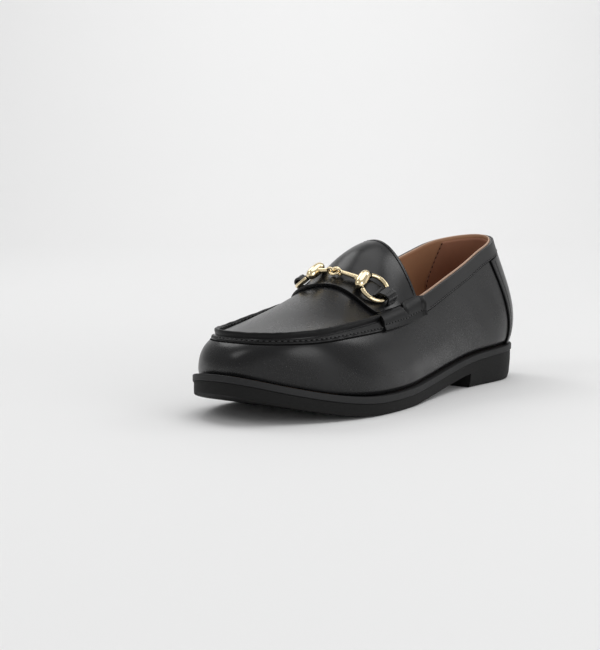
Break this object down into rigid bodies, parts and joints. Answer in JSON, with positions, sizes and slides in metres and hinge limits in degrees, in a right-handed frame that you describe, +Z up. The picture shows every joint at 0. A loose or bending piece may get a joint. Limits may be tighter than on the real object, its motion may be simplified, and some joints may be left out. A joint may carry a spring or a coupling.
{
  "type": "horsebit loafer",
  "caption": "Left slip-on leather loafer with a raised apron seam, a metal snaffle bit on a strap over the instep, a bound collar and a low stacked heel.",
  "frame": {"origin": "on the floor, under the middle of the sole's length and width", "axes": "+Z up, -Y towards the toe, +Y towards the heel, +X towards the lateral (outer) side"},
  "size_m": [0.1032, 0.29, 0.0992],
  "materials": {
    "leather": "smooth satin-gloss black leather",
    "lining": "matt tan lining leather",
    "midsole": "matt grey edge",
    "rubber": "matt black rubber",
    "gold": "polished pale gold"
  },
  "bodies": {
    "root": {"outsole": "rubber", "heel": "rubber", "midsole": "midsole", "insole": "lining", "upper": "leather", "collar_binding": "leather", "backstay": "leather", "strap": "leather", "tab_lateral": "leather", "tab_medial": "leather", "keeper_lateral": "leather", "keeper_medial": "leather", "ring_lateral": "gold", "ring_medial": "gold", "bar_lateral": "gold", "bar_medial": "gold", "link": "gold"}
  },
  "joints": []
}
